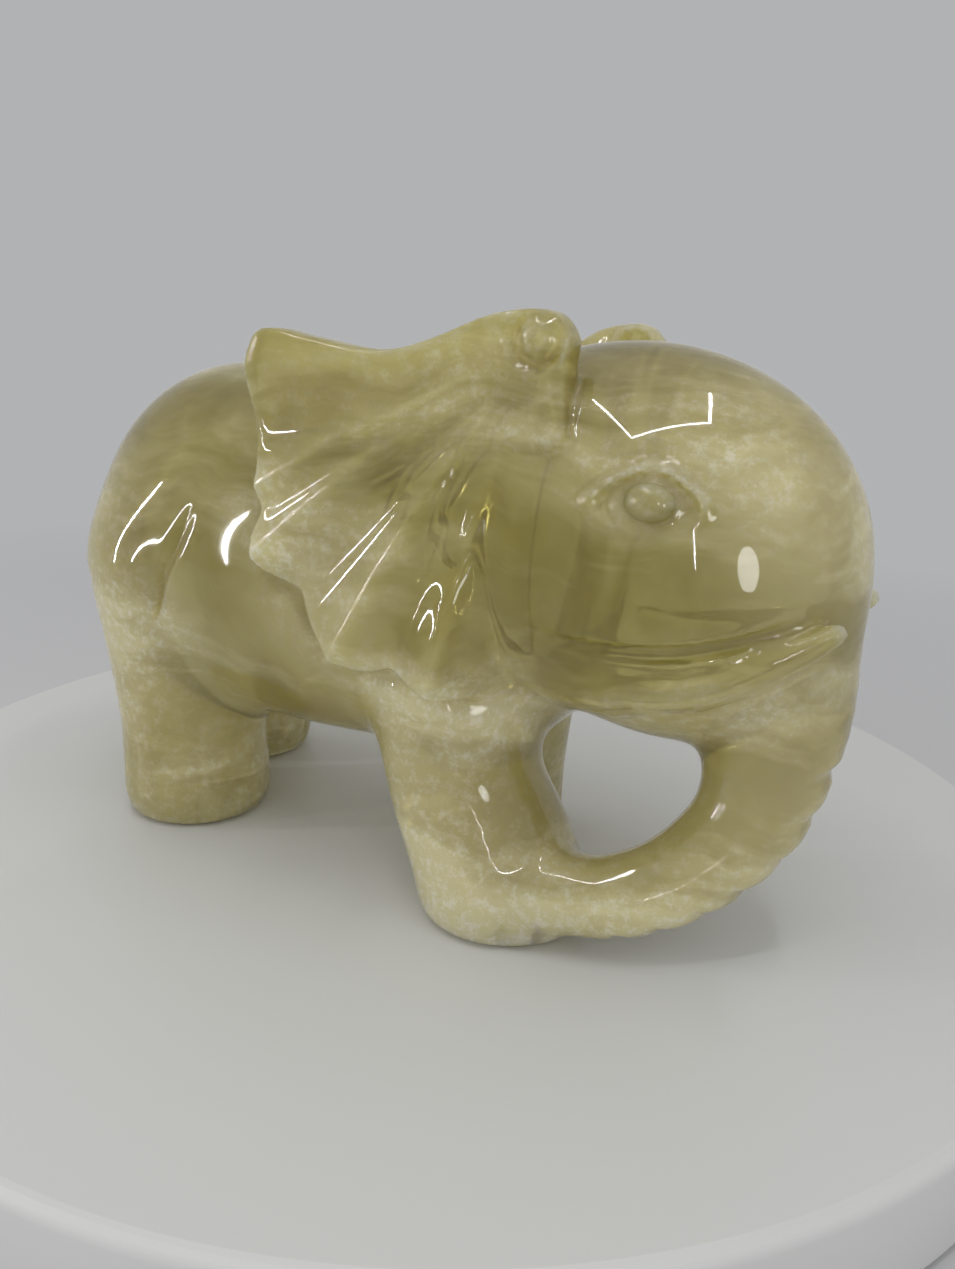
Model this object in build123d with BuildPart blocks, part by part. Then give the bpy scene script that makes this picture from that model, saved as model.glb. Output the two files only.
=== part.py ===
from build123d import *
import math
import os

# A walking elephant carved from one block of crystal, with its trunk curled back to its right front foot.
# Millimetres. +X points to the head, +Y to the elephant's left and +Z up. The soles stand on Z = 0, and
# the origin is on the ground under the middle of the figure. Each carved region is a solid of its own,
# and neighbouring regions meet face to face along the carved lines.

os.makedirs("parts", exist_ok=True)

# ---- driving dimensions -----------------------------------------------------------------------------

# Cross sections: distance along X, height of the centre, half width, half height.
TORSO_SECTIONS = [
    (-91.5, 68, 2.5, 3),
    (-90, 68, 10, 11.5),
    (-85, 68, 21.5, 24),
    (-77, 68, 29.5, 33),
    (-66, 67.8, 35.5, 40),
    (-50, 67.3, 38.5, 42.5),
    (-28, 66.3, 38.3, 41.5),
    (-8, 66.8, 37.2, 40.8),
    (10, 68.3, 36.2, 41.6),
    (24, 69, 32.8, 38),
    (34, 69, 26.8, 31),
    (42, 69, 16.5, 19),
]
HEAD_SECTIONS = [
    (5, 82, 12, 13),
    (10, 82, 20, 22),
    (18, 82, 26, 28),
    (28, 82, 30.6, 33),
    (40, 81.2, 33, 36.5),
    (54, 79.5, 33.2, 37.8),
    (66, 78, 30.8, 36),
    (76, 77.2, 26.4, 31.3),
    (84, 76.4, 20.5, 24.6),
    (89, 75.6, 13.8, 16.8),
    (91.5, 75.2, 5, 6),
]

# Centre line and radius of the trunk, from inside the face down, back and round to its tip.
TRUNK_STATIONS = [
    (66, 0, 73, 21),
    (75, 0, 59, 18),
    (79.5, -1, 43, 13.3),
    (77.5, -5, 28, 10.6),
    (68.5, -12.5, 16.8, 9),
    (60.5, -17.3, 12.4, 8.3),
    (51.6, -21.8, 10.8, 7.6),
]
WRINKLE_SHARES = [0.32, 0.40, 0.48, 0.56, 0.64, 0.72, 0.80]
WRINKLE_RADIUS = 1.4
WRINKLE_WIDTH = 18.0

# Legs at even heights: centre X, centre Y, half length, half width. The right legs stride forward.
LEG_SPACING = 15.0
LEG_SECTIONS = {
    "right_front_leg": [(31.5, -18.5, 18, 17.5), (27.5, -18.5, 17.6, 17.2), (20.5, -18.3, 16.6, 16.4),
                        (17, -18.5, 17.6, 17.6), (16, -18, 19, 18.8), (16, -15, 15, 14)],
    "left_front_leg": [(8, 19, 17.4, 17.2), (8, 19, 17.2, 17), (9, 19, 17, 17),
                       (10.5, 19, 17.8, 17.8), (12, 18, 19, 18.8), (13, 15, 15, 14)],
    "right_hind_leg": [(-59, -19, 18, 17.8), (-59.8, -18.8, 17.3, 17.3), (-61, -18.3, 17.8, 17.6),
                       (-61.5, -17.8, 20.5, 19.2), (-61, -16.5, 22, 20), (-59, -14, 17, 16)],
    "left_hind_leg": [(-76, 18, 17.4, 17.2), (-75.5, 18, 16.8, 16.8), (-73, 18, 17.5, 17.2),
                      (-69, 17.6, 20, 18.6), (-65, 16.2, 22, 19.6), (-61, 14, 17, 16)],
}
SOLE_ROUNDING = 3.0
TOE_NOTCH_ANGLES = {
    "right_front_leg": (15, 38, 61),
    "left_front_leg": (-34, -11, 12, 35),
    "right_hind_leg": (-34, -11, 12, 35),
    "left_hind_leg": (-34, -11, 12, 35),
}
TOE_NOTCH_RADIUS = 1.1
TOE_NOTCH_HEIGHT = 7.0

# Ears: a fan that spreads from the knob at the top of the head. Outline points are X and Z.
EAR_KNOB = (36, 117)
EAR_TOP_EDGE = [(42, 116.5), (39, 120.6), (34.5, 121.6), (26, 120), (16, 115.3), (8, 113.3), (-5, 115.2),
                (-13.5, 116)]
EAR_BACK_EDGE = [(-13.5, 116), (-18.3, 108), (-18, 98), (-14, 82)]
EAR_LOBES = [((-14, 82), (-16.5, 74), (-7, 67.5)), ((-7, 67.5), (1.5, 56.5), (15.5, 56)),
             ((15.5, 56), (29, 51.6), (41, 54.5))]
EAR_FRONT_EDGE = [(41, 54.5), (40, 66), (39.6, 82), (40.2, 100), (42, 116.5)]
EAR_INSIDE = 12.0
EAR_DISH_INSIDE = 8.0
EAR_KNOB_STAND = 27.0
EAR_FLARE = 0.255
EAR_REACH = 82.0
EAR_THICKNESS = 8.0
EAR_BACKED_BELOW = 93.0
EAR_FOLD_ANGLES = [8, 30, 39.5, 62, 81, 92]
FLUTE_START = 10.0
FLUTE_ROUNDNESS = 0.85
FLUTE_AXIS_STAND = 0.758

# Face, right side (Y < 0). The left side is its mirror image.
TUSK_STATIONS = [(54, -22.3, 57.8, 6.0), (64, -22.4, 59, 6.0), (74, -20.7, 62.2, 5), (83.5, -18.7, 67, 3.5),
                 (91.5, -17, 72.3, 1.3)]
SOCKET_STATIONS = [(41, -20, 58, 6), (44, -21.6, 57.6, 7.4), (50, -22.2, 57.6, 7.4), (54, -22.3, 57.8, 7.2)]
EYE_CENTRE = (60.2, -29.6, 91)
EYE_RADII = (5.4, 3.2, 3.9)
EYELID_NORMAL = (0.24, -0.94, 0.24)
EYELID_RADIUS = 7.6
EYELID_THICKNESS = 1.5
EYELID_CUT_NORMAL = (-0.12, 0, 1)
LIP_STATIONS = [(40, 0, 47.5, 5), (47, 0, 44.5, 6), (54, 0, 43, 6), (61, 0, 44.5, 4.5)]

TAIL_STATIONS = [(-80.3, 0, 95, 3), (-87.8, 0, 82.5, 3.4), (-90.6, 0.5, 69, 3.2), (-89.6, 1.2, 56, 4),
                 (-85, 1.6, 45, 2)]

# The space over the figure's right side, larger than anything in it.
SPACE_LENGTH = 200.0
SPACE_WIDTH = 100.0
SPACE_HEIGHT = 60.0


# ---- ways of shaping --------------------------------------------------------------------------------


def horn(stations):
    """A tapering round tube whose centre line runs smoothly through its stations."""
    centre_line = Spline(*[station[:3] for station in stations])
    with BuildPart() as tube:
        for x, y, z, radius in stations:
            along = centre_line.tangent_at(centre_line.param_at_point((x, y, z)))
            with BuildSketch(Plane(origin=(x, y, z), x_dir=(0, 1, 0), z_dir=along)):
                Circle(radius)
        loft()
    return tube.part


def barrel(sections):
    """A rounded body through upright elliptical cross sections."""
    with BuildPart() as body:
        for x, z, half_width, half_height in sections:
            with BuildSketch(Plane.YZ.offset(x)):
                with Locations((0, z)):
                    Ellipse(half_width, half_height)
        loft()
    return body.part


def egg(centre, radii):
    """An ellipsoid."""
    with BuildPart() as ball:
        Sphere(1)
        scale(by=radii)
    return Pos(*centre) * ball.part


# ---- whole masses, before the regions are divided ---------------------------------------------------

torso_mass = barrel(TORSO_SECTIONS)
trunk_mass = horn(TRUNK_STATIONS)
tusk_mass = horn(TUSK_STATIONS)
eyeball = egg(EYE_CENTRE, EYE_RADII)

with BuildPart() as right_cheek:
    add(horn(SOCKET_STATIONS))
with BuildPart() as right_eyelid:
    with Locations(Plane(origin=EYE_CENTRE, x_dir=(1, 0, 0), z_dir=EYELID_NORMAL)):
        Torus(EYELID_RADIUS, EYELID_THICKNESS)
    split(bisect_by=Plane(origin=EYE_CENTRE, z_dir=EYELID_CUT_NORMAL), keep=Keep.TOP)

with BuildPart() as head:
    add(barrel(HEAD_SECTIONS))
    add(right_cheek.part)
    add(right_eyelid.part)
    add(mirror(right_cheek.part, about=Plane.XZ))
    add(mirror(right_eyelid.part, about=Plane.XZ))
head.part.label = "head"

# ---- torso and tail ----------------------------------------------------------------------------------

with BuildPart() as torso:
    add(torso_mass)
    add(head.part, mode=Mode.SUBTRACT)
torso.part.label = "torso"

with BuildPart() as tail:
    add(horn(TAIL_STATIONS))
    add(torso.part, mode=Mode.SUBTRACT)
tail.part.label = "tail"

# ---- legs -------------------------------------------------------------------------------------------


def leg_mass(sections):
    """A whole leg, flat at the sole and running up inside the body."""
    with BuildPart() as column:
        for level, (x, y, half_length, half_width) in enumerate(sections):
            with BuildSketch(Plane.XY.offset(level * LEG_SPACING)):
                with Locations((x, y)):
                    Ellipse(half_length, half_width)
        loft()
    return column.part


def carve_leg(name, sections):
    """One leg, cut away where the torso and head already fill the block."""
    sole_x, sole_y, sole_length, sole_width = sections[0]
    with BuildPart() as leg:
        add(leg_mass(sections))
        fillet(leg.faces().sort_by(Axis.Z)[0].edges(), radius=SOLE_ROUNDING)
        for angle in TOE_NOTCH_ANGLES[name]:
            notch = Vector(sole_x, sole_y, 0) + Vector(sole_length, 0, 0).rotate(Axis.Z, angle)
            with Locations(notch):
                Cylinder(TOE_NOTCH_RADIUS, 2 * TOE_NOTCH_HEIGHT, mode=Mode.SUBTRACT)
        for neighbour in (torso, head):
            add(neighbour.part, mode=Mode.SUBTRACT)
    leg.part.label = name
    return leg


legs = {name: carve_leg(name, sections) for name, sections in LEG_SECTIONS.items()}

# ---- trunk and lower lip ----------------------------------------------------------------------------

trunk_line = Spline(*[station[:3] for station in TRUNK_STATIONS])


def trunk_radius(share):
    """The trunk's radius at a share of its length; its stations are about evenly spaced."""
    place = share * (len(TRUNK_STATIONS) - 1)
    before, after = TRUNK_STATIONS[int(place)][3], TRUNK_STATIONS[int(place) + 1][3]
    return before + (after - before) * (place - int(place))


with BuildPart() as trunk:
    add(trunk_mass)
    add(head.part, mode=Mode.SUBTRACT)
    for share in WRINKLE_SHARES:
        along = trunk_line.tangent_at(share)
        outward = along.cross(Vector(0, 1, 0)).normalized()
        crease = trunk_line.position_at(share) + outward * trunk_radius(share)
        with Locations(Plane(origin=crease, x_dir=along, z_dir=(0, 1, 0))):
            Cylinder(WRINKLE_RADIUS, WRINKLE_WIDTH, mode=Mode.SUBTRACT)
trunk.part.label = "trunk"

with BuildPart() as lower_lip:
    add(horn(LIP_STATIONS))
    for neighbour in (head, trunk, torso):
        add(neighbour.part, mode=Mode.SUBTRACT)
lower_lip.part.label = "lower_lip"

# ---- ears -------------------------------------------------------------------------------------------

knob_x, knob_z = EAR_KNOB


def dish(stand):
    """The space inside a shallow cone that opens outward from the knob, to the right of the midplane."""
    with BuildPart() as bowl:
        with BuildSketch(Plane.XY.offset(knob_z)):
            with BuildLine():
                Polyline((knob_x, -EAR_DISH_INSIDE), (knob_x + EAR_REACH, -EAR_DISH_INSIDE),
                         (knob_x + EAR_REACH, -stand - EAR_FLARE * EAR_REACH), (knob_x, -stand), close=True)
            make_face()
        revolve(axis=Axis((knob_x, 0, knob_z), (0, 1, 0)), revolution_arc=360)
    return bowl.part


ear_dish = dish(EAR_KNOB_STAND)
ear_hollow = dish(EAR_KNOB_STAND - EAR_THICKNESS)

with BuildPart() as ear_undercut:
    with BuildSketch(Plane.XY.offset(EAR_BACKED_BELOW)):
        with Locations((0, -SPACE_WIDTH / 2)):
            Rectangle(SPACE_LENGTH, SPACE_WIDTH)
    extrude(amount=SPACE_HEIGHT)
    add(ear_hollow, mode=Mode.INTERSECT)

with BuildPart() as right_ear_block:
    with BuildSketch(Plane.XZ.offset(EAR_INSIDE)):
        with BuildLine():
            Spline(*EAR_TOP_EDGE)
            Spline(*EAR_BACK_EDGE)
            for start, middle, end in EAR_LOBES:
                ThreePointArc(start, middle, end)
            Spline(*EAR_FRONT_EDGE)
        make_face()
    extrude(amount=EAR_REACH)
    add(ear_dish, mode=Mode.INTERSECT)
    for lower, upper in zip(EAR_FOLD_ANGLES, EAR_FOLD_ANGLES[1:]):
        middle_angle = (lower + upper) / 2
        fan_spread = math.radians(upper - lower)
        fan = Vector(-1, 0, 0).rotate(Axis.Y, -middle_angle)
        start_radius = FLUTE_START * fan_spread * FLUTE_ROUNDNESS
        end_radius = EAR_REACH * fan_spread * FLUTE_ROUNDNESS
        start_stand = EAR_KNOB_STAND + EAR_FLARE * FLUTE_START + FLUTE_AXIS_STAND * start_radius
        end_stand = EAR_KNOB_STAND + EAR_FLARE * EAR_REACH + FLUTE_AXIS_STAND * end_radius
        start = Vector(knob_x, -start_stand, knob_z) + fan * FLUTE_START
        end = Vector(knob_x, -end_stand, knob_z) + fan * EAR_REACH
        with Locations(Plane(origin=start, z_dir=end - start)):
            Cone(start_radius, end_radius, (end - start).length, mode=Mode.SUBTRACT,
                 align=(Align.CENTER, Align.CENTER, Align.MIN))
    add(ear_undercut.part, mode=Mode.SUBTRACT)

with BuildPart() as right_ear:
    add(right_ear_block.part)
    for neighbour in (torso, head, legs["right_front_leg"]):
        add(neighbour.part, mode=Mode.SUBTRACT)
right_ear.part.label = "right_ear"

# ---- tusks and eyes ---------------------------------------------------------------------------------

with BuildPart() as right_tusk:
    add(tusk_mass)
    for neighbour in (head, trunk):
        add(neighbour.part, mode=Mode.SUBTRACT)
right_tusk.part.label = "right_tusk"

with BuildPart() as right_eye:
    add(eyeball)
    add(head.part, mode=Mode.SUBTRACT)
right_eye.part.label = "right_eye"

# ---- left side of the face --------------------------------------------------------------------------

with BuildPart() as left_ear:
    add(mirror(right_ear_block.part, about=Plane.XZ))
    for neighbour in (torso, head, legs["left_front_leg"]):
        add(neighbour.part, mode=Mode.SUBTRACT)
left_ear.part.label = "left_ear"

with BuildPart() as left_tusk:
    add(mirror(tusk_mass, about=Plane.XZ))
    for neighbour in (head, trunk):
        add(neighbour.part, mode=Mode.SUBTRACT)
left_tusk.part.label = "left_tusk"

with BuildPart() as left_eye:
    add(mirror(eyeball, about=Plane.XZ))
    add(head.part, mode=Mode.SUBTRACT)
left_eye.part.label = "left_eye"

# ---- write the regions ------------------------------------------------------------------------------

regions = [torso, head, trunk, lower_lip, tail, right_ear, left_ear, right_tusk, left_tusk, right_eye, left_eye]
for region in regions + list(legs.values()):
    export_step(region.part, f"parts/{region.part.label}.step")
    print(region.part.label, len(region.part.solids()), round(region.part.volume))
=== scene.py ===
"""A carved, polished crystal elephant, looked at as in the photograph.

The stone is modelled like clay: a block of distances in millimetres is filled with smooth masses, cut
with creases, and its surface is taken as a mesh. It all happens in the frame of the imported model, with
+X to the elephant's head, +Y to its left and +Z up, and turns into metres when a mesh is made.
"""

import bpy
import numpy as np
from mathutils import Matrix, Vector


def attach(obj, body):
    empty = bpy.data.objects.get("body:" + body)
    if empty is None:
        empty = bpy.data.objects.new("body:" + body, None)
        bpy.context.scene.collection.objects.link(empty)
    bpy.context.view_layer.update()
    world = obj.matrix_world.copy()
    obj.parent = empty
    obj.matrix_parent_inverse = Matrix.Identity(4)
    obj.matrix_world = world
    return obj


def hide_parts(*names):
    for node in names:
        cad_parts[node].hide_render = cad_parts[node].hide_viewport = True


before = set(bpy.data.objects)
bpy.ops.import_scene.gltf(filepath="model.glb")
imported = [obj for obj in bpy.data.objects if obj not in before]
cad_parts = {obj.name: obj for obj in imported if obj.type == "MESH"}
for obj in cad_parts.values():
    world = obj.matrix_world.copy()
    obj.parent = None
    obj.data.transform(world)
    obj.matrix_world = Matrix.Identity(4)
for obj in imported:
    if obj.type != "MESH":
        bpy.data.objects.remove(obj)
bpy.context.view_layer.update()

MM = 0.001
# In millimetres: the distance that empty clay starts at, the room worked on round a form that is added or
# cut, and the distance given to a grid corner that is flipped.
FAR = 40.0
ADD_MARGIN = 16.0
CUT_MARGIN = 4.0
FLIPPED = 0.02
# How the mesh is drawn back onto the clay: the longest move in one round, in grid steps, and a small number
# that keeps the division safe where the distances are flat.
LONGEST_MOVE = 0.4
FLAT_GUARD = 0.05

# ---- distances to simple forms -----------------------------------------------------------------------


def soft_min(a, b, softness):
    """The union of two forms, with a fillet about as wide as softness."""
    near = np.maximum(softness - np.abs(a - b), 0) / softness
    return np.minimum(a, b) - near ** 3 * softness / 6


def soft_max(a, b, softness):
    """What two forms share, with its edge rounded."""
    return -soft_min(-a, -b, softness)


def bump(value, middle, width):
    """A smooth hump, 1 high, where the value is near the middle."""
    return np.exp(-((value - middle) / width) ** 2)


def ellipsoid(x, y, z, centre, radii):
    a, b, c = x - centre[0], y - centre[1], z - centre[2]
    reach = np.sqrt((a / radii[0]) ** 2 + (b / radii[1]) ** 2 + (c / radii[2]) ** 2)
    slope = np.sqrt((a / radii[0] ** 2) ** 2 + (b / radii[1] ** 2) ** 2 + (c / radii[2] ** 2) ** 2)
    return reach * (reach - 1) / (slope + 1e-6)


def round_cone(x, y, z, start, end):
    """A straight tube between two (x, y, z, radius) stations, with round ends."""
    run = [end[i] - start[i] for i in range(3)]
    along = (x - start[0]) * run[0] + (y - start[1]) * run[1] + (z - start[2]) * run[2]
    share = np.clip(along / sum(step * step for step in run), 0, 1)
    gaps = [(place - start[i]) - share * run[i] for i, place in enumerate((x, y, z))]
    return np.sqrt(gaps[0] ** 2 + gaps[1] ** 2 + gaps[2] ** 2) - (start[3] + (end[3] - start[3]) * share)


def smooth_line(stations, per_span=4):
    """A Catmull-Rom curve through the stations."""
    points = np.array(stations, float)
    points = np.vstack([2 * points[0] - points[1], points, 2 * points[-1] - points[-2]])
    line = []
    for before, start, end, after in zip(points, points[1:], points[2:], points[3:]):
        t = np.linspace(0, 1, per_span, endpoint=False)[:, None]
        line.append(0.5 * (2 * start + (end - before) * t
                           + (2 * before - 5 * start + 4 * end - after) * t ** 2
                           + (3 * start - before - 3 * end + after) * t ** 3))
    line.append(points[-2:-1])
    return np.vstack(line)


# ---- the block of clay -------------------------------------------------------------------------------


class Clay:
    """Distances on an even grid, negative inside the stone."""

    def __init__(self, low, high, step):
        self.step = step
        self.axes = [np.arange(a, b + step, step, dtype=np.float32) for a, b in zip(low, high)]
        self.field = np.full([len(axis) for axis in self.axes], FAR, np.float32)

    def window(self, low, high):
        """The part of the grid in a box: its slices, and its x, y and z ready to combine."""
        place = []
        for axis, a, b in zip(self.axes, low, high):
            first = int(np.clip(np.floor((a - axis[0]) / self.step), 0, len(axis) - 1))
            last = int(np.clip(np.ceil((b - axis[0]) / self.step) + 1, 1, len(axis)))
            place.append(slice(first, last))
        x, y, z = (axis[part] for axis, part in zip(self.axes, place))
        return tuple(place), x[:, None, None], y[None, :, None], z[None, None, :]

    def add(self, form, low, high, softness):
        place, x, y, z = self.window(low, high)
        self.field[place] = soft_min(self.field[place], form(x, y, z), softness)

    def add_egg(self, centre, radii, softness):
        low = [c - r - ADD_MARGIN for c, r in zip(centre, radii)]
        high = [c + r + ADD_MARGIN for c, r in zip(centre, radii)]
        self.add(lambda x, y, z: ellipsoid(x, y, z, centre, radii), low, high, softness)

    def tube_field(self, stations, low, high):
        """Distances to a tube over the window low to high."""
        place, x, y, z = self.window(low, high)
        tube = np.full(self.field[place].shape, FAR, np.float32)
        line = smooth_line(stations)
        for start, end in zip(line, line[1:]):
            tube = np.minimum(tube, round_cone(x, y, z, start, end))
        return place, tube

    def add_tube(self, stations, softness, floor=False):
        points = np.array(stations, float)
        reach = points[:, 3].max() + ADD_MARGIN
        place, tube = self.tube_field(stations, points[:, :3].min(0) - reach, points[:, :3].max(0) + reach)
        if floor:
            tube = soft_max(tube, -self.axes[2][place[2]][None, None, :], SOLE_ROUNDING)
        self.field[place] = soft_min(self.field[place], tube, softness)

    def cut_tube(self, stations, softness):
        points = np.array(stations, float)
        reach = points[:, 3].max() + CUT_MARGIN
        place, tube = self.tube_field(stations, points[:, :3].min(0) - reach, points[:, :3].max(0) + reach)
        self.field[place] = soft_max(self.field[place], -tube, softness)


CORNERS = [(i, j, k) for i in (0, 1) for j in (0, 1) for k in (0, 1)]
CELL_EDGES = [(a, b) for a in CORNERS for b in CORNERS
              if sum(b) - sum(a) == 1 and all(q >= p for p, q in zip(a, b))]


def untangle(field, rounds=10):
    """Where a grid face has corners inside and outside by turns, flip the one nearest to the surface.

    Otherwise two sheets of the surface would share a side there.
    """
    for _ in range(rounds):
        for first, second in ((0, 1), (0, 2), (1, 2)):
            along, across = np.eye(3, dtype=int)[[first, second]]
            corners = [0 * along, along + across, along, across]
            span = field.shape - (along + across)
            inside = []
            for corner in corners:
                kept = tuple(slice(begin, begin + length) for begin, length in zip(corner, span))
                inside.append(field[kept] < 0)
            tangled = (inside[0] == inside[1]) & (inside[2] == inside[3]) & (inside[0] != inside[2])
            for place in np.argwhere(tangled):
                nearest = min((tuple(place + corner) for corner in corners), key=lambda at: abs(field[at]))
                field[nearest] = FLIPPED if field[nearest] < 0 else -FLIPPED


def surface(clay):
    """The clay's surface as points and quads: one point in each grid cell that the surface crosses."""
    untangle(clay.field)
    field = clay.field
    inside = field < 0
    size = [n - 1 for n in field.shape]
    count = sum(inside[i:size[0] + i, j:size[1] + j, k:size[2] + k].astype(np.int8) for i, j, k in CORNERS)
    cells = np.argwhere((count > 0) & (count < 8))
    number = np.full(size, -1, np.int64)
    number[tuple(cells.T)] = np.arange(len(cells))
    total = np.zeros((len(cells), 3))
    crossings = np.zeros(len(cells))
    for a, b in CELL_EDGES:
        start, end = cells + a, cells + b
        at_start, at_end = field[tuple(start.T)], field[tuple(end.T)]
        crossed = (at_start < 0) != (at_end < 0)
        share = at_start[crossed] / (at_start[crossed] - at_end[crossed])
        total[crossed] += start[crossed] + (end[crossed] - start[crossed]) * share[:, None]
        crossings[crossed] += 1
    grid_points = total / crossings[:, None]
    quads = []
    for axis in range(3):
        side, other = [i for i in range(3) if i != axis]
        lower = tuple(slice(0, -1) if i == axis else slice(None) for i in range(3))
        upper = tuple(slice(1, None) if i == axis else slice(None) for i in range(3))
        edges = np.argwhere(inside[lower] != inside[upper])
        inner = [(edges[:, i] > 0) & (edges[:, i] < field.shape[i] - 1) for i in (side, other)]
        edges = edges[inner[0] & inner[1]]
        ring = []
        for back, down in ((0, 0), (1, 0), (1, 1), (0, 1)):
            cell = edges.copy()
            cell[:, side] -= back
            cell[:, other] -= down
            ring.append(number[tuple(cell.T)])
        ring = np.stack(ring, 1)
        turned = inside[tuple(edges.T)] if axis == 1 else ~inside[tuple(edges.T)]
        ring[turned] = ring[turned][:, ::-1]
        quads.append(ring)
    return grid_points, np.vstack(quads)


def sample(values, at):
    """Values between grid points, by their eight neighbours."""
    top = np.array(values.shape) - 2
    base = np.clip(np.floor(at).astype(int), 0, top)
    share = at - base
    result = 0
    for corner in CORNERS:
        weight = np.prod(np.where(corner, share, 1 - share), axis=1)
        result = result + weight * values[tuple((base + corner).T)]
    return result


def neighbour_mean(points, quads):
    """The mean of each point's neighbours along the quads' sides."""
    total = np.zeros_like(points)
    count = np.zeros(len(points))
    for here, there in ((0, 1), (1, 2), (2, 3), (3, 0)):
        for p, q in ((here, there), (there, here)):
            for i in range(3):
                total[:, i] += np.bincount(quads[:, p], points[quads[:, q], i], len(points))
            count += np.bincount(quads[:, p], minlength=len(points))
    return total / count[:, None]


def polished_mesh(clay, rounds=3):
    """The surface with its points spread evenly and drawn back onto the clay's zero level."""
    points, quads = surface(clay)
    slopes = np.gradient(clay.field)
    for _ in range(rounds):
        points = points + 0.5 * (neighbour_mean(points, quads) - points)
        slope = np.stack([sample(part, points) for part in slopes], 1)
        move = slope * (sample(clay.field, points) / ((slope ** 2).sum(1) + FLAT_GUARD))[:, None]
        points -= np.clip(move, -LONGEST_MOVE, LONGEST_MOVE)
    normals = np.stack([sample(part, points) for part in slopes], 1)
    normals /= np.linalg.norm(normals, axis=1)[:, None] + 1e-9
    origin = np.array([axis[0] for axis in clay.axes])
    return points * clay.step + origin, quads, normals


def make_piece(name, shaped, material, nodes, mirrored=False):
    """A closed mesh piece on the root body, standing for these CAD nodes."""
    points, quads, normals = shaped
    if mirrored:
        points, normals, quads = points * (1, -1, 1), normals * (1, -1, 1), quads[:, ::-1]
    mesh = bpy.data.meshes.new(name)
    # Nothing reaches below the ground.
    points = np.maximum(points, (-np.inf, -np.inf, 0.0)) * MM
    mesh.from_pydata(points.tolist(), [], quads.tolist())
    mesh.validate()
    mesh.polygons.foreach_set("use_smooth", np.ones(len(mesh.polygons), bool))
    mesh.normals_split_custom_set_from_vertices(normals.tolist())
    mesh.materials.append(material)
    piece = bpy.data.objects.new(name, mesh)
    bpy.context.scene.collection.objects.link(piece)
    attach(piece, "root")
    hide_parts(*nodes)
    return piece


# ---- shape of the elephant, in millimetres -----------------------------------------------------------

# The clay's grid steps, and the box of the block.
BLOCK_STEP = 1.04
DETAIL_STEP = 0.5
BLOCK_BOX = ((-98, -48, -4), (97, 48, 125))
TUBE_MARGIN = 3
EYE_MARGIN = 2
SOLE_ROUNDING = 4.0
# How softly each part joins the body, and how round the edges of each kind of cut are.
TRUNK_JOIN = 6
LEG_JOIN = 10
SOCKET_JOIN = 2.5
TUSK_JOIN = 0.8
NOTCH_EDGE = 1.2
CREASE_EDGE = 1.6
FOLD_EDGE = 1.8

# Centre, radii and the softness of the join.
MASSES = [
    ((-24, 0, 66), (54, 38, 41), 20),
    ((-55, 0, 68), (36.5, 37, 41.5), 20),
    ((12, 0, 69), (34, 35, 41), 20),
    ((46, 0, 82), (44.5, 33.5, 36), 12),
    ((60, 0, 71), (31, 28, 29), 14),
]
# Tubes are lists of (x, y, z, radius) stations.
TRUNK = [(66, 0, 71, 23.5), (75.5, 0, 57, 17.6), (79, -1, 42, 13), (77, -5, 28, 10.5), (68, -13, 17, 9),
         (57, -20, 12, 8.2), (47, -24, 11.5, 7.4)]
# Right front, left front, right hind and left hind.
LEGS = [
    [(17, -18, 64, 20), (18, -18.5, 44, 17.3), (21, -18.3, 28, 16.6), (27.5, -18.5, 15, 17.4),
     (31, -18.5, 7, 18)],
    [(12, 19, 62, 20), (10, 19.5, 40, 17.6), (8.5, 19, 20, 17.2), (8, 19, 7, 17.4)],
    [(-61, -17, 62, 23), (-61, -18, 42, 19.5), (-60, -18.5, 24, 17.6), (-58.5, -19, 7, 18)],
    [(-66, 16, 60, 22), (-70, 17.5, 38, 18.6), (-75, 18, 20, 17), (-75, 18, 7, 17.3)],
]
SOCKET = [(42, -21, 57.6, 7.2), (54, -22.3, 57.8, 7.3)]
TUSK = [(52, -22.2, 57.6, 6.1), (64, -22.6, 59, 6.0), (74, -20.9, 62.2, 5), (83.5, -18.7, 67, 3.5),
        (90.5, -17, 71.6, 1.9)]
LIP = [(40, 0, 49, 5.5), (48, 0, 46.5, 6.2), (56, 0, 46, 5.4), (61, 0, 47.5, 4)]
TAIL = [(-80.3, 0, 95, 3), (-86.5, 0, 82.5, 3.4), (-90.4, 0.5, 69, 3.2), (-89.2, 1.2, 56, 4),
        (-85, 1.6, 46, 2.4)]
EYE = (60.2, -29.6, 91.3)
EYE_RADII = (4.7, 3.0, 3.5)
EYE_HALF = (7.2, 4.7)
EYE_GROOVE = 1.7
LID_RISE = 1.5
# The eye's lines are rings, in shares of EYE_HALF: the groove is at 1, then come the lid and the brow line.
EYE_RING_WIDTH = 0.16
LID_RING = 1.3
BROW_RING = 1.66
BROW_WIDTH = 0.2
BROW_SHARE = 0.5
# How much the almond narrows towards its corners.
EYE_PINCH = 0.45
NOTCH_FIRST = 34.0
NOTCH_SPACING = 7.0
NOTCH_RADIUS = 2.8
NOTCH_DEPTH = 0.65
NOTCH_END_RADIUS = 0.4
# Shares of the trunk's radius: how far to each side a notch's ends lie, and how far out.
NOTCH_REACH = 1.05
NOTCH_END_OUT = 0.6
# The length at the trunk's tip that has no notch.
NOTCH_FREE_END = 8
# Heights and radii up a notch between two toes.
TOE_CUT = [(-2, 1.2), (4, 1.1), (8, 0.4)]
# In degrees round each foot, from straight ahead, the elephant's left being positive.
TOE_ANGLES = [(-60, -36, 12, 36), (-34, -11, 12, 35), (-46, -22, 2, 26), (-34, -11, 12, 35)]
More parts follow.
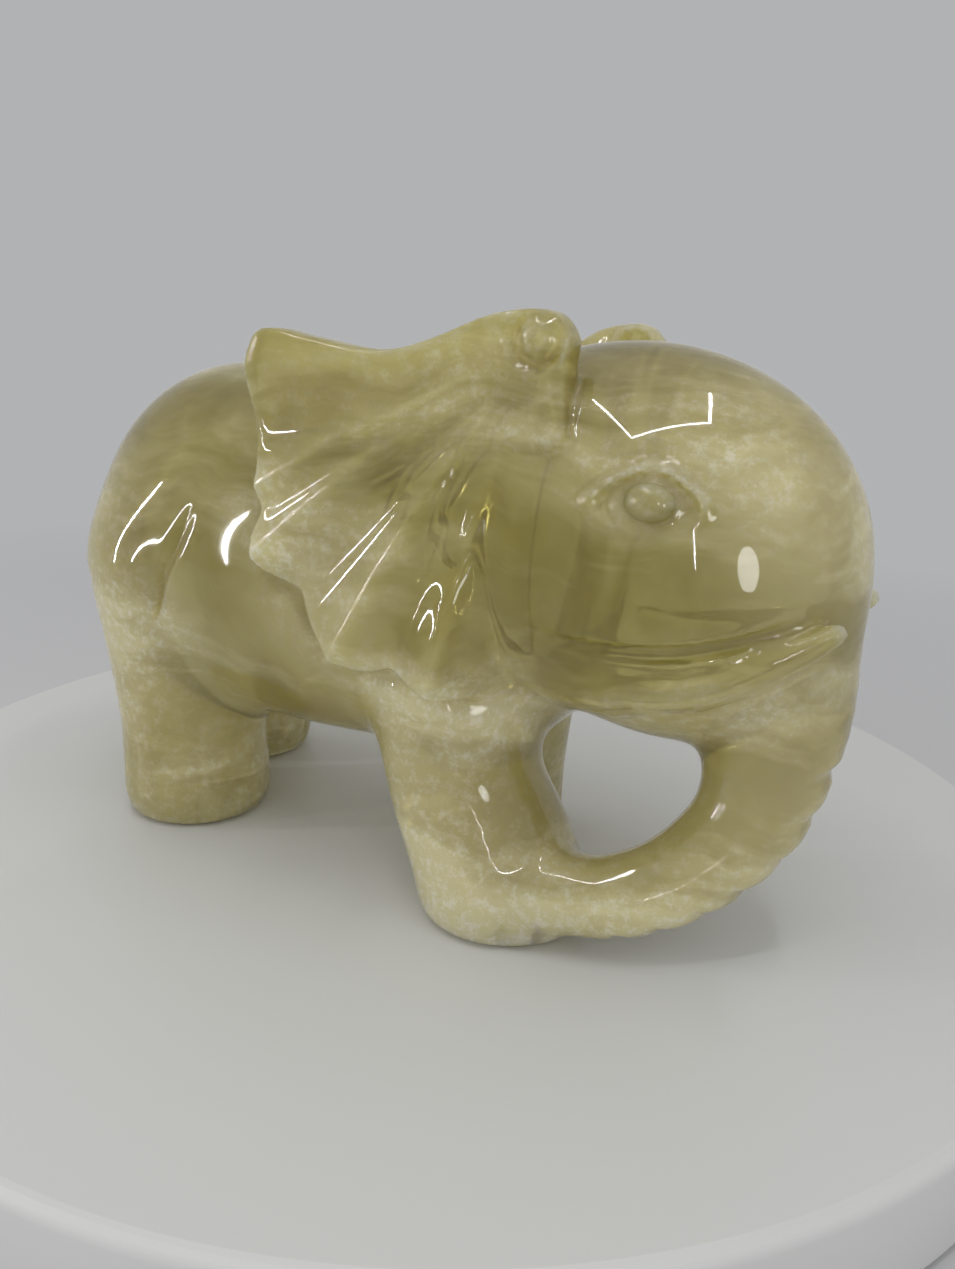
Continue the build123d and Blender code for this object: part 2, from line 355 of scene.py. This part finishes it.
# Creases cut on both sides, right side given.
CREASES = [
    [(42, -29.6, 66.6, 0.4), (48, -30.4, 64.8, 1.2), (56, -30, 64.8, 1.7), (66, -28.3, 65.9, 1.8),
     (76, -24.8, 68.6, 1.6), (86, -20, 73, 1.2)],
    [(42, -27, 49.4, 1.4), (50, -27.6, 50.6, 1.7), (58, -26, 52.2, 1.7), (68, -24, 55.1, 1.4)],
]
RIGHT_CREASES = [
    [(-36, -37.5, 86, 0.8), (-40, -38.5, 76, 1.2), (-46, -38.5, 64, 1.0), (-50, -37, 54, 0.6)],
]

# X and Z of the knob that the ear fans out from.
KNOB = (36, 117)
EAR_EDGE_RUNS = [
    [(42, 117.2), (38.6, 121.2), (34, 122), (26, 120.6), (16, 116), (8, 114), (-5, 115.8), (-12, 117),
     (-16.2, 115.5), (-19, 106), (-17.6, 94), (-15, 83)],
    [(-15, 83), (-17.6, 77), (-15.6, 71), (-10, 68.5), (-7, 67.4)],
    [(-7, 67.4), (-4.4, 61), (1, 56.3), (8.6, 53.8), (15.5, 55.6)],
    [(15.5, 55.6), (22, 52.6), (30, 51.4), (37.5, 52.8), (43, 55.2)],
    [(43, 55.2), (46, 66), (47.5, 82), (45, 99), (42.4, 108), (42, 117.2)],
]
EAR_RIDGE_ANGLES = [8, 30, 39.5, 62, 81, 92, 104]
EAR_RIM = 3.2
EAR_JOIN = 1.0
EAR_UNDERCUT = 1.1
EAR_THICKNESS = 8.0
EAR_BACKED_BELOW = 96.0
EAR_BACK = 14.0
EAR_FRONT = 41.0
EAR_FRONT_SLOPE = 0.5
EAR_KNOB_FREE = 40.0
EAR_FREE_HEIGHTS = (97.0, 112.0)
EAR_BOX = ((-24, -50, 46), (52, 50, 127))
# The free part of the ear stands out this far at the knob, and this much more away from it.
EAR_STAND = 26
EAR_FLARE = 18.5
EAR_FLARE_REACH = 32
EAR_FLARE_POWER = 1.6
EAR_RISE_JOIN = 5
# A flute's depth for its width, and how far from the knob it is at its full depth.
FLUTE_DEPTH = 0.16
FLUTE_FULL = 25
# The flutes fade out over this length at the ear's front, which is this much further forward at the top.
FLUTE_FADE = 9
FLUTE_TOP_SHIFT = 20
# The knob is a boss with a ring cut round it: their height, the boss's width, the ring's radius and width.
WHORL_HEIGHT = 2.0
WHORL_WIDTH = 6.5
WHORL_RING = 4.4
WHORL_RING_WIDTH = 1.1
# How far under the ear's face the body ends, and how far inside its outline that begins.
COVER_DEPTH = 5.0
COVER_INSET = 3.0
COVER_EDGE = 0.5
# The groove in the body round the ear: how far outside its outline, how wide, and over what length it fades
# towards the front.
UNDERCUT_PLACE = 1.6
UNDERCUT_WIDTH = 1.5
UNDERCUT_FADE = 8
# The sheet's distances are this share of their Y difference, as its faces lean.
LEAN = 0.93


def outline_distance(x, z, corners):
    """Distance in the plane to a closed outline, negative inside."""
    nearest = np.full(np.broadcast(x, z).shape, 1e9)
    sign = np.ones(nearest.shape)
    for (px, pz), (qx, qz) in zip(corners, np.roll(corners, 1, axis=0)):
        ex, ez = qx - px, qz - pz
        wx, wz = x - px, z - pz
        share = np.clip((wx * ex + wz * ez) / (ex * ex + ez * ez + 1e-12), 0, 1)
        nearest = np.minimum(nearest, (wx - ex * share) ** 2 + (wz - ez * share) ** 2)
        above, below, left = z >= pz, z < qz, ex * wz > ez * wx
        sign = np.where((above & below & left) | (~above & ~below & ~left), -sign, sign)
    return sign * np.sqrt(nearest)


def right_side_width(clay, x, z):
    """How far the clay stands to the right of the midplane, at each X and Z."""
    middle = int(np.searchsorted(clay.axes[1], 0))
    rows = clay.field[:, :middle, :]
    inside = rows < 0
    first = np.maximum(inside.argmax(axis=1), 1)[:, None, :]
    out, into = np.take_along_axis(rows, first - 1, 1)[:, 0], np.take_along_axis(rows, first, 1)[:, 0]
    share = np.where(inside.any(axis=1), out / (out - into + 1e-9), 0)
    width = np.where(inside.any(axis=1), -clay.axes[1][first[:, 0] - 1] - share * clay.step, 0)
    by_x = np.stack([np.interp(x, clay.axes[0], column) for column in width.T], 1)
    return np.stack([np.interp(z, clay.axes[2], row) for row in by_x])


def smooth_step(value, start, end):
    share = np.clip((value - start) / (end - start), 0, 1)
    return share * share * (3 - 2 * share)


def ear_relief(x, z, body_width):
    """The ear over X and Z: its distance outline, and how far its face stands from the midplane.

    It is a flaring fan with sharp folds and hollow flutes, and it rises out of the side of the head.
    """
    x, z = x.astype(float), z.astype(float)
    edge = np.vstack([smooth_line(run)[:-1] for run in EAR_EDGE_RUNS])
    outline = outline_distance(x, z, edge)
    across, down = KNOB[0] - x, KNOB[1] - z
    reach = np.hypot(across, down)
    angle = np.degrees(np.arctan2(down, across))
    free_stand = EAR_STAND + EAR_FLARE * (1 - np.exp(-(reach / EAR_FLARE_REACH) ** EAR_FLARE_POWER))
    rise = EAR_FRONT_SLOPE * (EAR_FRONT - x) + EAR_KNOB_FREE * smooth_step(z, *EAR_FREE_HEIGHTS)
    stand = soft_min(free_stand, body_width + rise, EAR_RISE_JOIN)
    ridges = np.array(EAR_RIDGE_ANGLES, float)
    fold = np.clip(np.searchsorted(ridges, angle) - 1, 0, len(ridges) - 2)
    half = (ridges[fold + 1] - ridges[fold]) / 2
    near_ridge = np.clip(np.abs(angle - ridges[fold] - half) / half, 0, 1)
    full = np.clip(reach / FLUTE_FULL, 0, 1)
    flute = (1 - near_ridge ** 2) * FLUTE_DEPTH * np.radians(2 * half) * reach * full
    top_shift = FLUTE_TOP_SHIFT * smooth_step(z, *EAR_FREE_HEIGHTS)
    flute = flute * smooth_step(EAR_FRONT - x + top_shift, 0, FLUTE_FADE)
    boss = bump(reach, 0, WHORL_WIDTH)
    ring = bump(reach, WHORL_RING, WHORL_RING_WIDTH)
    return outline, stand - flute + WHORL_HEIGHT * (boss - ring)


def add_ears(block):
    """Both ears, joined to the block with a crisp crease."""
    place, x, y, z = block.window(*EAR_BOX)
    body_width = right_side_width(block, x.ravel(), z.ravel())
    outline, face = ear_relief(x[:, 0, :], z[:, 0, :], body_width)
    outline, face = outline[:, None, :], face[:, None, :]
    back = np.where(z > EAR_BACKED_BELOW, face - EAR_THICKNESS, EAR_BACK)
    sheet = soft_max((np.abs(y) - face) * LEAN, (back - np.abs(y)) * LEAN, EAR_RIM)
    fan = soft_max(sheet, outline + 0 * y, EAR_RIM)
    # Inside the ear's outline the body is cut back to under the ear's face, so that it can't show through.
    deeper = (face - COVER_DEPTH) - np.abs(y)
    covered = np.maximum(np.maximum(outline + COVER_INSET, deeper), x - (EAR_FRONT - COVER_DEPTH))
    behind_front = smooth_step(EAR_FRONT - 4 - x, 0, UNDERCUT_FADE)
    undercut = EAR_UNDERCUT * bump(outline, UNDERCUT_PLACE, UNDERCUT_WIDTH) * behind_front
    body = soft_max(block.field[place] + undercut, -covered, COVER_EDGE)
    block.field[place] = soft_min(body, fan, EAR_JOIN)


def sculpt_tube(stations):
    points = np.array(stations)
    reach = points[:, 3].max() + TUBE_MARGIN
    clay = Clay(points[:, :3].min(0) - reach, points[:, :3].max(0) + reach, DETAIL_STEP)
    clay.add_tube(stations, 1.0)
    return clay


def sculpt_eye():
    low = [c - r - EYE_MARGIN for c, r in zip(EYE, EYE_RADII)]
    high = [c + r + EYE_MARGIN for c, r in zip(EYE, EYE_RADII)]
    clay = Clay(low, high, DETAIL_STEP)
    clay.add_egg(EYE, EYE_RADII, 1.0)
    return clay


def both_sides(stations):
    """The same stations on the elephant's right and on its left."""
    return [stations, [(x, -y, z, radius) for x, y, z, radius in stations]]


def carve_eye_sockets(clay):
    """An almond groove round each eye, with a raised upper lid and a brow line."""
    low = [EYE[0] - 16, -46, EYE[2] - 14]
    high = [EYE[0] + 16, 46, EYE[2] + 16]
    place, x, y, z = clay.window(low, high)
    across, up = (x - EYE[0]) / EYE_HALF[0], (z - EYE[2]) / EYE_HALF[1]
    ring = np.sqrt(across ** 2 + (up * (1 + EYE_PINCH * across ** 2)) ** 2)
    groove = EYE_GROOVE * bump(ring, 1, EYE_RING_WIDTH) * (0.7 + 0.3 * np.clip(up, -1, 1))
    lid = LID_RISE * bump(ring, LID_RING, EYE_RING_WIDTH) * np.clip(up + 0.7, 0, 1)
    brow = EYE_GROOVE * BROW_SHARE * bump(ring, BROW_RING, BROW_WIDTH) * np.clip(up - 0.1, 0, 1)
    clay.field[place] += (groove - lid + brow) + 0 * y


def carve_trunk_notches(clay):
    """Short notches across the front of the trunk, each with a sharp upper lip."""
    line = smooth_line(TRUNK, per_span=24)
    steps = np.linalg.norm(np.diff(line[:, :3], axis=0), axis=1)
    travelled = np.concatenate([[0], np.cumsum(steps)])
    for distance in np.arange(NOTCH_FIRST, travelled[-1] - NOTCH_FREE_END, NOTCH_SPACING):
        station = [np.interp(distance, travelled, line[:, i]) for i in range(4)]
        ahead = [np.interp(distance + 1, travelled, line[:, i]) for i in range(3)]
        along = np.array(ahead) - station[:3]
        outward = np.cross(along, (0, 1, 0))
        outward /= np.linalg.norm(outward)
        lip = [station[i] + outward[i] * (station[3] + NOTCH_RADIUS - NOTCH_DEPTH) for i in range(3)]
        reach = station[3] * NOTCH_REACH
        side = [station[i] + outward[i] * station[3] * NOTCH_END_OUT for i in range(3)]
        right_end = (side[0], side[1] - reach, side[2], NOTCH_END_RADIUS)
        left_end = (side[0], side[1] + reach, side[2], NOTCH_END_RADIUS)
        clay.cut_tube([right_end, (*lip, NOTCH_RADIUS), left_end], NOTCH_EDGE)


def carve_toes(clay):
    """Four shallow upright notches between the toes at the front of each foot."""
    for leg, angles in zip(LEGS, TOE_ANGLES):
        x, y, z, radius = leg[-1]
        for angle in np.radians(angles):
            edge = (x + radius * np.cos(angle), y + radius * np.sin(angle))
            clay.cut_tube([(*edge, height, width) for height, width in TOE_CUT], NOTCH_EDGE)


def carve_creases(clay):
    """The lines over and under each tusk, and one fold of skin on the right flank."""
    for crease in CREASES:
        for stations in both_sides(crease):
            clay.cut_tube(stations, CREASE_EDGE)
    for crease in RIGHT_CREASES:
        clay.cut_tube(crease, FOLD_EDGE)


def sculpt_block():
    clay = Clay(*BLOCK_BOX, BLOCK_STEP)
    for centre, radii, softness in MASSES:
        clay.add_egg(centre, radii, softness)
    clay.add_tube(TRUNK, TRUNK_JOIN)
    for leg in LEGS:
        clay.add_tube(leg, LEG_JOIN, floor=True)
    for socket in both_sides(SOCKET):
        clay.add_tube(socket, SOCKET_JOIN)
    for tusk in both_sides(TUSK):
        clay.add_tube(tusk, TUSK_JOIN)
    carve_eye_sockets(clay)
    carve_trunk_notches(clay)
    carve_toes(clay)
    carve_creases(clay)
    add_ears(clay)
    return clay


# ---- the crystal -------------------------------------------------------------------------------------

# How far, in metres, the noise shifts the pattern of the stone.
DRIFT = 0.03
OLIVE_DEEP = (0.34, 0.275, 0.04)
OLIVE = (0.42, 0.355, 0.075)
OLIVE_PALE = (0.52, 0.455, 0.145)
# Milky colour of the veils, also used as painted light: the paler colour towards the bottom and along the
# trunk.
VEIL_AND_PAINTED_LIGHT = (0.7, 0.64, 0.39)
FROST = (0.9, 0.87, 0.76)
# How much of the pale line on sharp edges shows, partly wear and partly a painted highlight along the
# ridges, and the share of a frosty region's radius at full strength.
WEAR_AND_HIGHLIGHT_STRENGTH = 0.65
SPOT_CORE = 0.3
# Frosty regions in the stone, two of them partly painted light: centre and radius in metres, and strength.
FROST_AND_PAINTED_LIGHT_SPOTS = [
    ((-0.076, -0.03, 0.055), 0.04, 0.75),
    ((-0.006, -0.044, 0.07), 0.026, 0.6),
    ((0.02, -0.036, 0.035), 0.03, 0.35),
    ((-0.06, 0.035, 0.06), 0.03, 0.4),
    # Partly a paler haze in the stone, partly a painted highlight on the upper back of the ear.
    ((-0.008, -0.043, 0.106), 0.026, 0.4),
    ((0.022, -0.034, 0.118), 0.026, 0.25),
    ((0.035, 0.03, 0.117), 0.03, 0.6),
    # Partly a paler haze in the stone, partly painted light that brightens the face.
    ((0.082, -0.015, 0.088), 0.03, 0.25),
]


def crystal_material():
    """Translucent olive yellow quartz: clear depths, milky veils, fine frost and a glassy polish. Painted
    light too: the stone is painted paler towards the bottom and along the trunk and on two frosty spots,
    and sharp edges get a pale line that is partly wear and partly a painted highlight.
    """
    material = bpy.data.materials.new("crystal")
    material.use_nodes = True
    tree = material.node_tree
    tree.nodes.clear()
    link = tree.links.new

    def node(kind, **values):
        made = tree.nodes.new(kind)
        for key, value in values.items():
            if key in made.inputs:
                made.inputs[key].default_value = value
            else:
                setattr(made, key, value)
        return made

    def ramp(source, stops):
        made = tree.nodes.new("ShaderNodeValToRGB")
        while len(made.color_ramp.elements) < len(stops):
            made.color_ramp.elements.new(0.5)
        for element, (position, colour) in zip(made.color_ramp.elements, stops):
            element.position = position
            element.color = (*colour, 1)
        link(source, made.inputs["Fac"])
        return made.outputs["Color"]

    def map_range(source, start, end, low, high):
        ends = {"From Min": start, "From Max": end, "To Min": low, "To Max": high}
        made = node("ShaderNodeMapRange", **ends)
        link(source, made.inputs["Value"])
        return made.outputs["Result"]

    def frost_and_painted_light_spot(source, centre, radius, strength):
        drift_middle = 0.5 * DRIFT
        made = node("ShaderNodeVectorMath", operation="DISTANCE")
        link(source, made.inputs[0])
        made.inputs[1].default_value = [c + drift_middle for c in centre]
        return map_range(made.outputs["Value"], radius, SPOT_CORE * radius, 0.0, strength)

    def add_up(*sources):
        total = sources[0]
        for source in sources[1:]:
            made = node("ShaderNodeMath", operation="ADD", use_clamp=True)
            link(total, made.inputs[0])
            link(source, made.inputs[1])
            total = made.outputs["Value"]
        return total

    def grey(low, high):
        return [(low, (0, 0, 0)), (high, (1, 1, 1))]

    place = node("ShaderNodeTexCoord").outputs["Object"]
    warp = node("ShaderNodeTexNoise", Scale=22.0, Detail=3.0, Roughness=0.55)
    link(place, warp.inputs["Vector"])
    drift = node("ShaderNodeVectorMath", operation="MULTIPLY_ADD")
    drift.inputs[1].default_value = (DRIFT, DRIFT, DRIFT)
    link(warp.outputs["Color"], drift.inputs[0])
    link(place, drift.inputs[2])

    clouds = node("ShaderNodeTexNoise", Scale=26.0, Detail=4.0, Roughness=0.6)
    link(drift.outputs["Vector"], clouds.inputs["Vector"])
    depth = ramp(clouds.outputs["Fac"], [(0.36, OLIVE_DEEP), (0.5, OLIVE), (0.64, OLIVE_PALE)])

    stretch = node("ShaderNodeMapping")
    stretch.inputs["Rotation"].default_value = (0.3, 0.5, 0.2)
    stretch.inputs["Scale"].default_value = (0.6, 1.0, 2.6)
    link(drift.outputs["Vector"], stretch.inputs["Vector"])
    veils = node("ShaderNodeTexNoise", Scale=15.0, Detail=5.0, Roughness=0.58)
    link(stretch.outputs["Vector"], veils.inputs["Vector"])
    veil_cloud = ramp(veils.outputs["Fac"], grey(0.44, 0.74))
    split = node("ShaderNodeSeparateXYZ")
    link(drift.outputs["Vector"], split.inputs["Vector"])
    # Painted light: the colour turns paler and milkier towards the bottom and along the trunk, where light
    # comes up from the floor and through the thin trunk.
    painted_light_from_below = map_range(split.outputs["Z"], 0.085, 0.025, 0.0, 0.5)
    painted_light_through_trunk = map_range(split.outputs["X"], 0.085, 0.11, 0.0, 0.4)
    spots = [frost_and_painted_light_spot(drift.outputs["Vector"], *spot) for spot in FROST_AND_PAINTED_LIGHT_SPOTS]
    grain_veils_and_painted_light = add_up(veil_cloud, painted_light_from_below, *spots)
    veils_and_painted_light = add_up(grain_veils_and_painted_light, painted_light_through_trunk)

    frost = node("ShaderNodeTexNoise", Scale=420.0, Detail=4.0, Roughness=0.75)
    link(place, frost.inputs["Vector"])
    frost_share = ramp(frost.outputs["Fac"], grey(0.48, 0.66))
    speckle = node("ShaderNodeMath", operation="MULTIPLY")
    link(map_range(grain_veils_and_painted_light, 0.25, 0.85, 0.0, 0.6), speckle.inputs[0])
    link(frost_share, speckle.inputs[1])

    # Mixes in the real veils and the painted paleness towards the bottom and along the trunk.
    milky_and_painted_light = node("ShaderNodeMix", data_type="RGBA")
    link(veils_and_painted_light, milky_and_painted_light.inputs["Factor"])
    link(depth, milky_and_painted_light.inputs["A"])
    milky_and_painted_light.inputs["B"].default_value = (*VEIL_AND_PAINTED_LIGHT, 1)
    speckled = node("ShaderNodeMix", data_type="RGBA")
    link(speckle.outputs["Value"], speckled.inputs["Factor"])
    link(milky_and_painted_light.outputs["Result"], speckled.inputs["A"])
    speckled.inputs["B"].default_value = (*FROST, 1)

    # A pale line on sharp edges, partly wear and partly a painted highlight along the ridge crests.
    edges = ramp(node("ShaderNodeNewGeometry").outputs["Pointiness"], grey(0.54, 0.63))
    wear_and_highlight_share = node("ShaderNodeMath", operation="MULTIPLY")
    link(edges, wear_and_highlight_share.inputs[0])
    wear_and_highlight_share.inputs[1].default_value = WEAR_AND_HIGHLIGHT_STRENGTH
    wear_and_highlight = node("ShaderNodeMix", data_type="RGBA")
    link(wear_and_highlight_share.outputs["Value"], wear_and_highlight.inputs["Factor"])
    link(speckled.outputs["Result"], wear_and_highlight.inputs["A"])
    wear_and_highlight.inputs["B"].default_value = (*FROST, 1)

    shader = node("ShaderNodeBsdfPrincipled")
    shader.inputs["Roughness"].default_value = 0.04
    shader.inputs["IOR"].default_value = 1.54
    shader.inputs["Subsurface Weight"].default_value = 1.0
    shader.inputs["Subsurface Radius"].default_value = (1.0, 0.95, 0.6)
    shader.inputs["Subsurface Scale"].default_value = 0.02
    link(map_range(veils_and_painted_light, 0.0, 1.0, 0.7, 0.3), shader.inputs["Transmission Weight"])
    link(wear_and_highlight.outputs["Result"], shader.inputs["Base Color"])
    output = node("ShaderNodeOutputMaterial")
    link(shader.outputs["BSDF"], output.inputs["Surface"])
    return material


# ---- pieces ------------------------------------------------------------------------------------------

crystal = crystal_material()
make_piece("crystal_block", polished_mesh(sculpt_block()), crystal,
           ["torso", "head", "trunk", "right_ear", "left_ear", "right_tusk", "left_tusk", "right_front_leg",
            "left_front_leg", "right_hind_leg", "left_hind_leg"])
eye = polished_mesh(sculpt_eye())
for side, mirrored in (("right", False), ("left", True)):
    make_piece(side + "_eyeball", eye, crystal, [side + "_eye"], mirrored)
make_piece("lip_carving", polished_mesh(sculpt_tube(LIP)), crystal, ["lower_lip"])
make_piece("tail_carving", polished_mesh(sculpt_tube(TAIL)), crystal, ["tail"])

# ---- floor, light and camera -------------------------------------------------------------------------


def plain_material(name, colour, roughness):
    material = bpy.data.materials.new(name)
    material.use_nodes = True
    shader = material.node_tree.nodes["Principled BSDF"]
    shader.inputs["Base Color"].default_value = (*colour, 1)
    shader.inputs["Roughness"].default_value = roughness
    return material


FLOOR_HALF = 4.0
FLOOR_FADE = (0.2, 0.6)
FLOOR_COLOUR = (0.55, 0.55, 0.56)
TABLE_COLOUR = (0.6, 0.605, 0.595)
TABLE_MIDDLE = (-0.0116, 0.027)
TABLE_RADIUS = 0.15
TABLE_HEIGHT = 0.022
BACKDROP = (0.44, 0.445, 0.455)


def backdrop_material():
    """Pale paper that takes shadows near the table and fades into the even backdrop further out."""
    material = plain_material("pale_floor", FLOOR_COLOUR, 0.8)
    tree = material.node_tree
    place = tree.nodes.new("ShaderNodeTexCoord")
    distance = tree.nodes.new("ShaderNodeVectorMath")
    distance.operation = "LENGTH"
    fade = tree.nodes.new("ShaderNodeMapRange")
    fade.inputs["From Min"].default_value = FLOOR_FADE[0]
    fade.inputs["From Max"].default_value = FLOOR_FADE[1]
    paper = tree.nodes.new("ShaderNodeEmission")
    paper.inputs["Color"].default_value = (*BACKDROP, 1)
    mix = tree.nodes.new("ShaderNodeMixShader")
    tree.links.new(place.outputs["Object"], distance.inputs[0])
    tree.links.new(distance.outputs["Value"], fade.inputs["Value"])
    tree.links.new(fade.outputs["Result"], mix.inputs["Fac"])
    tree.links.new(tree.nodes["Principled BSDF"].outputs["BSDF"], mix.inputs[1])
    tree.links.new(paper.outputs["Emission"], mix.inputs[2])
    tree.links.new(mix.outputs["Shader"], tree.nodes["Material Output"].inputs["Surface"])
    return material


floor_mesh = bpy.data.meshes.new("floor")
floor_corners = [(x * FLOOR_HALF, y * FLOOR_HALF, -TABLE_HEIGHT)
                 for x, y in ((-1, -1), (1, -1), (1, 1), (-1, 1))]
floor_mesh.from_pydata(floor_corners, [], [(0, 1, 2, 3)])
floor_mesh.materials.append(backdrop_material())
floor = bpy.data.objects.new("floor", floor_mesh)
bpy.context.scene.collection.objects.link(floor)

bpy.ops.mesh.primitive_cylinder_add(vertices=256, radius=TABLE_RADIUS, depth=TABLE_HEIGHT,
                                    location=(*TABLE_MIDDLE, -TABLE_HEIGHT / 2))
round_floor = bpy.context.object
round_floor.name = "round_floor"
rim = round_floor.modifiers.new("rim", "BEVEL")
rim.width = 0.0025
rim.segments = 4
rim.limit_method = "ANGLE"
sides = [len(face.vertices) == 4 for face in round_floor.data.polygons]
round_floor.data.polygons.foreach_set("use_smooth", sides)
round_floor.data.materials.append(plain_material("white_floor", TABLE_COLOUR, 0.45))


MIDDLE = (0, 0, 0.06)
# Name, place, target, width and height in metres, and power in watts.
LAMPS = [
    ("soft_top", (0.1, -0.1, 0.9), MIDDLE, 1.2, 1.2, 0.5),
    ("side_panel", (0.62, -0.46, 0.1), MIDDLE, 0.14, 0.26, 0.6),
    ("front_strip", (-0.6, -0.46, 0.18), (0, 0, 0.18), 0.012, 0.36, 0.9),
    ("second_strip", (-0.48, -0.58, 0.18), (0, 0, 0.18), 0.008, 0.36, 0.6),
    ("side_strip", (0.36, -0.62, 0.3), (0, 0, 0.3), 0.004, 0.5, 0.3),
]
# An open ring of thin strips overhead.
STRIP_CORNERS = [(-0.165, -0.02), (0.015, -0.28), (0.185, -0.07), (0.12, 0.09)]
STRIP_HEIGHT = 0.5
STRIP_WIDTH = 0.006
STRIP_POWER = 0.21
# What lights the stone from all round. The camera sees BACKDROP instead.
WALLS = (0.555, 0.555, 0.555)


def area_light(name, place, target, width, height, power):
    lamp = bpy.data.lights.new(name, "AREA")
    lamp.shape = "ELLIPSE"
    lamp.size = width
    lamp.size_y = height
    lamp.energy = power
    light = bpy.data.objects.new(name, lamp)
    light.location = place
    light.rotation_euler = (Vector(target) - Vector(place)).to_track_quat("-Z", "Y").to_euler()
    bpy.context.scene.collection.objects.link(light)


def strip_light(start, end):
    """A thin light strip that shines straight down."""
    lamp = bpy.data.lights.new("strip", "AREA")
    lamp.shape = "RECTANGLE"
    lamp.size = (end - start).length
    lamp.size_y = STRIP_WIDTH
    lamp.energy = STRIP_POWER
    light = bpy.data.objects.new("strip", lamp)
    light.location = (start + end) / 2
    light.rotation_euler = (0, 0, np.arctan2(end.y - start.y, end.x - start.x))
    bpy.context.scene.collection.objects.link(light)


for lamp in LAMPS:
    area_light(*lamp)
for corner, following in zip(STRIP_CORNERS, STRIP_CORNERS[1:]):
    strip_light(Vector((*corner, STRIP_HEIGHT)), Vector((*following, STRIP_HEIGHT)))

world = bpy.data.worlds.new("studio")
world.use_nodes = True
world_link = world.node_tree.links.new
backdrop = world.node_tree.nodes["Background"]
backdrop.inputs["Color"].default_value = (*BACKDROP, 1)
walls = world.node_tree.nodes.new("ShaderNodeBackground")
walls.inputs["Color"].default_value = (*WALLS, 1)
seen = world.node_tree.nodes.new("ShaderNodeLightPath")
surroundings = world.node_tree.nodes.new("ShaderNodeMixShader")
world_link(seen.outputs["Is Camera Ray"], surroundings.inputs["Fac"])
world_link(walls.outputs["Background"], surroundings.inputs[1])
world_link(backdrop.outputs["Background"], surroundings.inputs[2])
world_output = world.node_tree.nodes["World Output"]
world_link(surroundings.outputs["Shader"], world_output.inputs["Surface"])
bpy.context.scene.world = world
bpy.context.scene.view_settings.view_transform = "Standard"

# From a fit to the table's rim, with an assumed lens: other lenses fit the rim about as well.
CAMERA_PLACE = Vector((0.1158, -0.1802, 0.1128))
CAMERA_AIM = Vector((-0.481, 0.8325, -0.2756))
CAMERA_ROLL = 2.75
FRAME_HEIGHT = 36.0
LENS = 27.09
lens = bpy.data.cameras.new("camera")
lens.sensor_fit = "VERTICAL"
lens.sensor_height = FRAME_HEIGHT
lens.lens = LENS
lens.clip_start = 0.01
camera = bpy.data.objects.new("camera", lens)
turn = CAMERA_AIM.to_track_quat("-Z", "Y").to_matrix().to_4x4()
camera.matrix_world = (Matrix.Translation(CAMERA_PLACE) @ turn
                       @ Matrix.Rotation(np.radians(CAMERA_ROLL), 4, "Z"))
bpy.context.scene.collection.objects.link(camera)
bpy.context.scene.camera = camera
